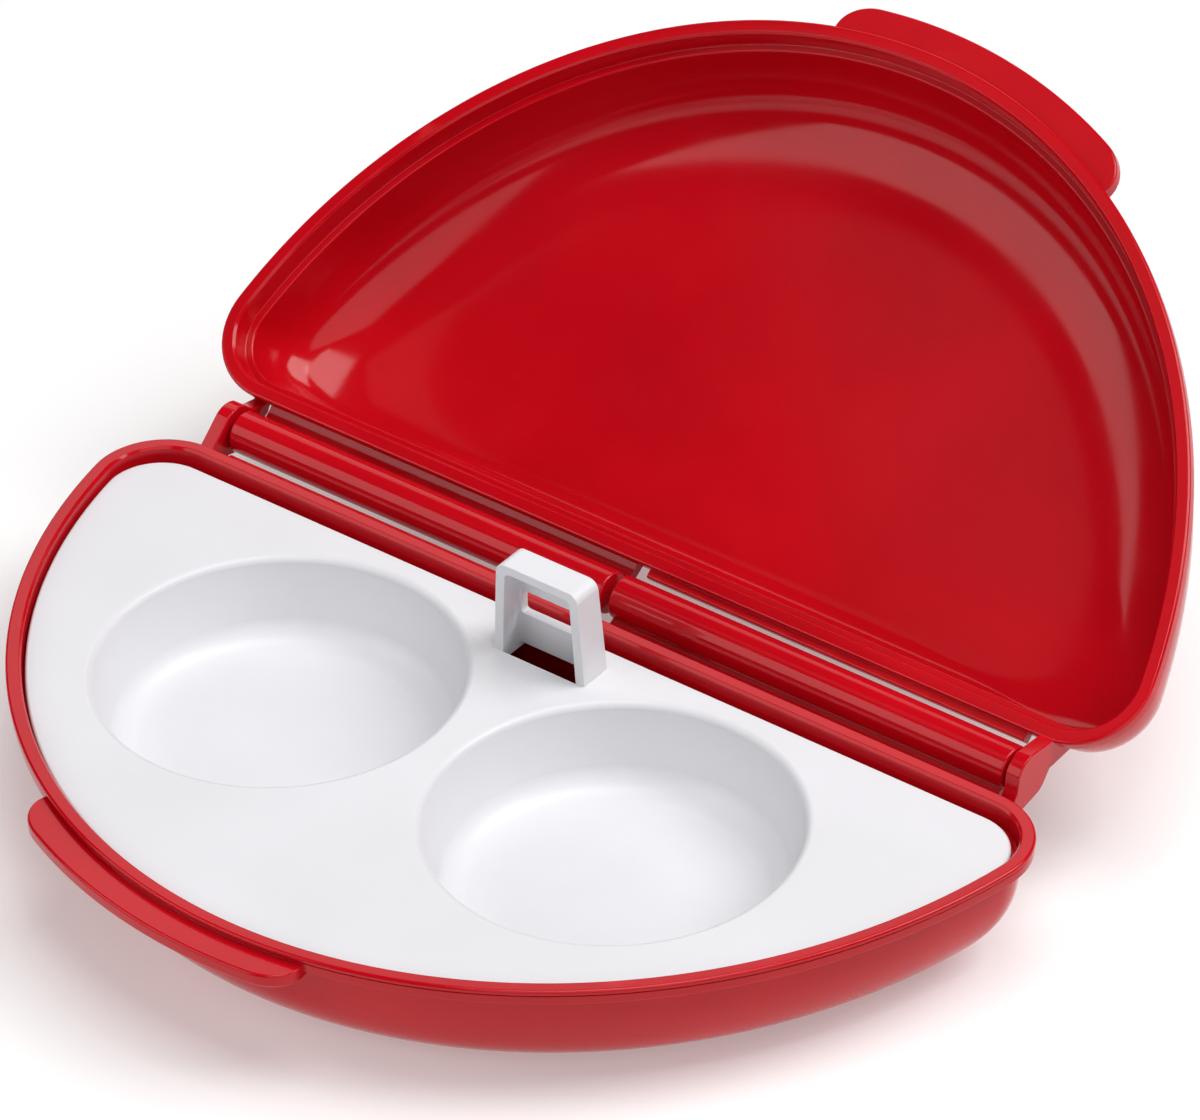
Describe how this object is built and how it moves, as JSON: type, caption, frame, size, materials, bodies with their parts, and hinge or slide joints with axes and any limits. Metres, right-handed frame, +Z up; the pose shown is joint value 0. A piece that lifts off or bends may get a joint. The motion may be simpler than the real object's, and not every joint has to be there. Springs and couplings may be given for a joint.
{
  "type": "microwave egg cooker",
  "caption": "Half-moon microwave egg cooker whose hinged lid and base close over a lift-out tray with round egg cups and a finger handle.",
  "frame": {"origin": "middle of the base's flat underside: on the surface it stands on, midway along the hinge", "axes": "+X along the hinge, +Y towards the open lid, +Z up"},
  "size_m": [0.2302, 0.2467, 0.1057],
  "materials": {
    "red_plastic": "glossy red moulded plastic",
    "white_plastic": "satin white moulded plastic"
  },
  "bodies": {
    "base": {"base_shell": "red_plastic"},
    "lid": {"lid_shell": "red_plastic"},
    "tray": {"egg_tray": "white_plastic", "tray_handle": "white_plastic"}
  },
  "joints": [
    {"name": "lid_hinge", "type": "hinge", "parent": "base", "child": "lid", "pos_m": [0, 0.057, 0.0283], "axis": [1, 0, 0], "range_deg": [0, 144]},
    {"name": "tray_lift", "type": "slide", "parent": "base", "child": "tray", "axis": [0, 0, 1], "range_m": [0, 0.105]}
  ]
}
